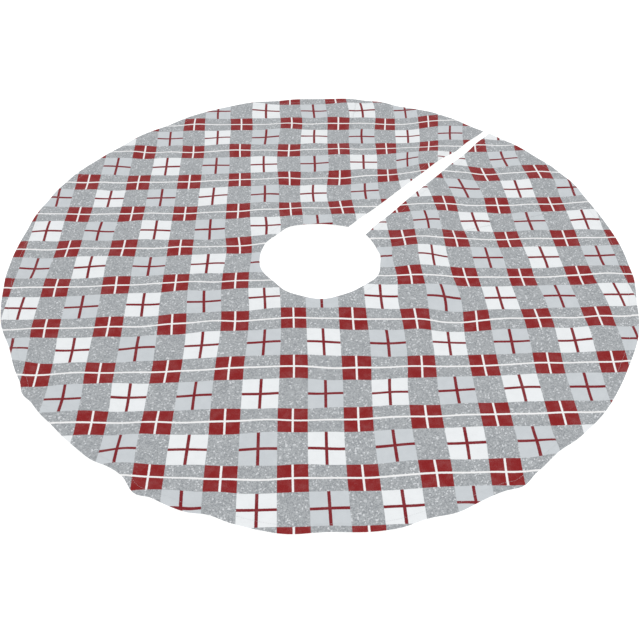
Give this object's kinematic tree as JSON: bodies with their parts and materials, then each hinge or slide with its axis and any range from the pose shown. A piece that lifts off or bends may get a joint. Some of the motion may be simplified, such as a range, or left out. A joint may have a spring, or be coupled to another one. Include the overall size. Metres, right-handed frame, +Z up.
{
  "type": "tree skirt",
  "caption": "Round printed fabric tree skirt with a central trunk hole and a straight slit whose two flaps fold back.",
  "frame": {"origin": "on the floor, under the middle of the trunk hole", "axes": "+Z up; +Y from the middle out along the slit; the left and right flaps are on -X and +X of it"},
  "size_m": [1.1175, 1.1175, 0.0218],
  "materials": {
    "printed_fabric": "matte brushed polyester with a plaid print of silver glitter, white, pale grey and dark red",
    "lining_fabric": "matte white plain weave",
    "tape_fabric": "matte white twill tape",
    "thread": "pale grey polyester thread",
    "label_fabric": "white satin ribbon"
  },
  "bodies": {
    "skirt": {"face_panel": "printed_fabric", "lining_panel": "lining_fabric", "hem_tape": "tape_fabric", "neck_tape": "tape_fabric", "hem_stitch": "thread", "neck_stitch": "thread"},
    "left_flap": {"face_panel_left_flap": "printed_fabric", "lining_panel_left_flap": "lining_fabric", "hem_tape_left_flap": "tape_fabric", "neck_tape_left_flap": "tape_fabric", "hem_stitch_left_flap": "thread", "neck_stitch_left_flap": "thread", "slit_tape_left": "tape_fabric", "slit_stitch_left": "thread", "bar_tack_left": "thread"},
    "right_flap": {"face_panel_right_flap": "printed_fabric", "lining_panel_right_flap": "lining_fabric", "hem_tape_right_flap": "tape_fabric", "neck_tape_right_flap": "tape_fabric", "hem_stitch_right_flap": "thread", "neck_stitch_right_flap": "thread", "slit_tape_right": "tape_fabric", "slit_stitch_right": "thread", "bar_tack_right": "thread", "care_label": "label_fabric"}
  },
  "joints": [
    {"name": "left_fold", "type": "hinge", "parent": "skirt", "child": "left_flap", "pos_m": [-0.0572, 0.09155, 0.024], "axis": [0.5298, -0.8478, 0.0244], "range_deg": [0, 175]},
    {"name": "right_fold", "type": "hinge", "parent": "skirt", "child": "right_flap", "pos_m": [0.0572, 0.09155, 0.024], "axis": [0.5298, 0.8478, -0.0244], "range_deg": [0, 175]}
  ]
}
